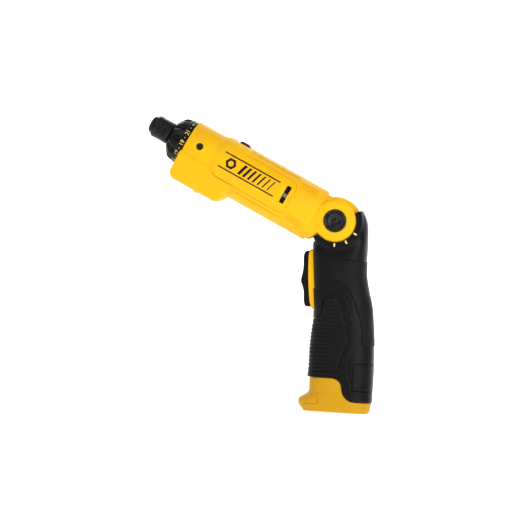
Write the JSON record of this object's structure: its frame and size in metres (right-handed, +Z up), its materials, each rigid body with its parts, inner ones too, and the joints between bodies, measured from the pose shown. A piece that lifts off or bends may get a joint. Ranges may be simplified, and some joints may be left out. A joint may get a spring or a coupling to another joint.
{
  "type": "cordless screwdriver",
  "caption": "Cordless pistol-to-inline screwdriver with a folding handle, torque collar, hex bit chuck, rocker trigger and slide-out battery foot.",
  "frame": {"origin": "centre of the battery foot's flat underside", "axes": "+X forward, the way the bit points; +Y to the tool's left; +Z up, away from the foot"},
  "size_m": [0.1682, 0.0386, 0.1992],
  "materials": {
    "black_shell": "fine matt moulded texture",
    "grip_rubber": "soft matt overmould",
    "yellow_housing": "fine matt moulded texture",
    "foot_yellow": "fine matt moulded texture",
    "collar_black": "satin",
    "sleeve_black": "satin black",
    "cap_black": "semi-gloss",
    "smoked_lens": "polished",
    "steel": "bright",
    "gear_steel": "sintered",
    "case_metal": "die-cast",
    "magnet": "dark",
    "winding": "enamelled copper",
    "copper": "turned",
    "bronze": "sintered",
    "carbon": "dull",
    "board": "solder mask",
    "inner_plastic": "moulded",
    "cell_wrap": "shrink wrap",
    "contact": "plated"
  },
  "bodies": {
    "handle": {"handle_left": "black_shell", "handle_right": "black_shell", "front_grip": "grip_rubber", "heel_pad": "grip_rubber", "trigger_bezel": "yellow_housing", "trigger_pin": "steel", "switch_module": "inner_plastic", "control_board": "board", "terminal_block": "inner_plastic", "handle_screws": "steel", "detent_ball": "steel", "detent_spring": "steel"},
    "trigger": {"trigger": "black_shell"},
    "release_left": {"release_left": "black_shell"},
    "release_right": {"release_right": "black_shell"},
    "battery": {"battery_foot": "foot_yellow", "battery_case": "black_shell", "battery_cells": "cell_wrap", "battery_contacts": "contact"},
    "barrel": {"housing_left": "yellow_housing", "housing_right": "yellow_housing", "housing_screws": "steel", "gauge_window": "smoked_lens", "worklight_lens": "smoked_lens", "led_board": "board", "pivot_pin": "steel", "pivot_cap_left": "cap_black", "pivot_cap_right": "cap_black", "detent_plate": "steel", "motor_can": "steel", "motor_magnets": "magnet", "motor_endcap": "inner_plastic", "motor_brushes": "carbon", "gear_case": "case_metal", "gear_nose": "case_metal", "clutch_ring": "gear_steel", "clutch_balls": "steel", "clutch_spring": "steel", "clutch_nut": "bronze", "front_bush": "bronze"},
    "rotor": {"motor_shaft": "steel", "armature": "winding", "commutator": "copper", "pinion": "gear_steel"},
    "first_stage": {"first_carrier": "gear_steel", "second_sun": "gear_steel"},
    "output": {"second_carrier": "gear_steel", "output_spindle": "sleeve_black", "chuck_ball": "steel", "chuck_spring": "steel", "chuck_clip": "sleeve_black"},
    "sleeve": {"chuck_sleeve": "sleeve_black"},
    "collar": {"torque_collar": "collar_black"},
    "first_planet_1": {"first_planet_1": "gear_steel"},
    "first_planet_2": {"first_planet_2": "gear_steel"},
    "first_planet_3": {"first_planet_3": "gear_steel"},
    "second_planet_1": {"second_planet_1": "gear_steel"},
    "second_planet_2": {"second_planet_2": "gear_steel"},
    "second_planet_3": {"second_planet_3": "gear_steel"}
  },
  "joints": [
    {"name": "handle_fold", "type": "hinge", "parent": "handle", "child": "barrel", "pos_m": [0.007, 0, 0.1325], "axis": [0, -1, 0], "range_deg": [0, 60]},
    {"name": "trigger_rock", "type": "hinge", "parent": "handle", "child": "trigger", "pos_m": [0.0185, 0, 0.0915], "axis": [0, 1, 0], "range_deg": [-4, 4], "stiffness_Nm_per_rad": 0.3},
    {"name": "release_left_press", "type": "slide", "parent": "handle", "child": "release_left", "axis": [0, -1, 0], "range_m": [0, 0.0012], "stiffness_N_per_m": 600},
    {"name": "release_right_press", "type": "slide", "parent": "handle", "child": "release_right", "axis": [0, 1, 0], "range_m": [0, 0.0012], "stiffness_N_per_m": 600},
    {"name": "battery_slide", "type": "slide", "parent": "handle", "child": "battery", "axis": [0, 0, -1], "range_m": [0, 0.062]},
    {"name": "torque_setting", "type": "hinge", "parent": "barrel", "child": "collar", "pos_m": [0.12003, 0, 0.18362], "axis": [-0.8988, 0, -0.4384], "range_deg": [0, 330]},
    {"name": "rotor_spin", "type": "hinge", "parent": "barrel", "child": "rotor", "pos_m": [0.05172, 0, 0.15031], "axis": [0.8988, 0, 0.4384], "continuous": true},
    {"name": "first_stage_spin", "type": "hinge", "parent": "barrel", "child": "first_stage", "pos_m": [0.07689, 0, 0.16258], "axis": [0.8988, 0, 0.4384], "continuous": true},
    {"name": "output_spin", "type": "hinge", "parent": "barrel", "child": "output", "pos_m": [0.09846, 0, 0.1731], "axis": [0.8988, 0, 0.4384], "continuous": true},
    {"name": "first_planet_1_spin", "type": "hinge", "parent": "first_stage", "child": "first_planet_1", "pos_m": [0.07679, 0, 0.15252], "axis": [0.8988, 0, 0.4384], "continuous": true},
    {"name": "first_planet_2_spin", "type": "hinge", "parent": "first_stage", "child": "first_planet_2", "pos_m": [0.07087, 0.00779, 0.16465], "axis": [0.8988, 0, 0.4384], "continuous": true},
    {"name": "first_planet_3_spin", "type": "hinge", "parent": "first_stage", "child": "first_planet_3", "pos_m": [0.07087, -0.00779, 0.16465], "axis": [0.8988, 0, 0.4384], "continuous": true},
    {"name": "second_planet_1_spin", "type": "hinge", "parent": "output", "child": "second_planet_1", "pos_m": [0.08443, 0, 0.15624], "axis": [0.8988, 0, 0.4384], "continuous": true},
    {"name": "second_planet_2_spin", "type": "hinge", "parent": "output", "child": "second_planet_2", "pos_m": [0.07851, 0.00779, 0.16838], "axis": [0.8988, 0, 0.4384], "continuous": true},
    {"name": "second_planet_3_spin", "type": "hinge", "parent": "output", "child": "second_planet_3", "pos_m": [0.07851, -0.00779, 0.16838], "axis": [0.8988, 0, 0.4384], "continuous": true},
    {"name": "sleeve_slide", "type": "slide", "parent": "output", "child": "sleeve", "axis": [0.8988, 0, 0.4384], "range_m": [0, 0.003], "stiffness_N_per_m": 600}
  ],
  "couplings": [
    {"joint": "first_stage_spin", "follows": "rotor_spin", "ratio": 0.2},
    {"joint": "output_spin", "follows": "rotor_spin", "ratio": 0.04},
    {"joint": "first_planet_1_spin", "follows": "rotor_spin", "ratio": -0.53333},
    {"joint": "first_planet_2_spin", "follows": "rotor_spin", "ratio": -0.53333},
    {"joint": "first_planet_3_spin", "follows": "rotor_spin", "ratio": -0.53333},
    {"joint": "second_planet_1_spin", "follows": "rotor_spin", "ratio": -0.10667},
    {"joint": "second_planet_2_spin", "follows": "rotor_spin", "ratio": -0.10667},
    {"joint": "second_planet_3_spin", "follows": "rotor_spin", "ratio": -0.10667}
  ]
}
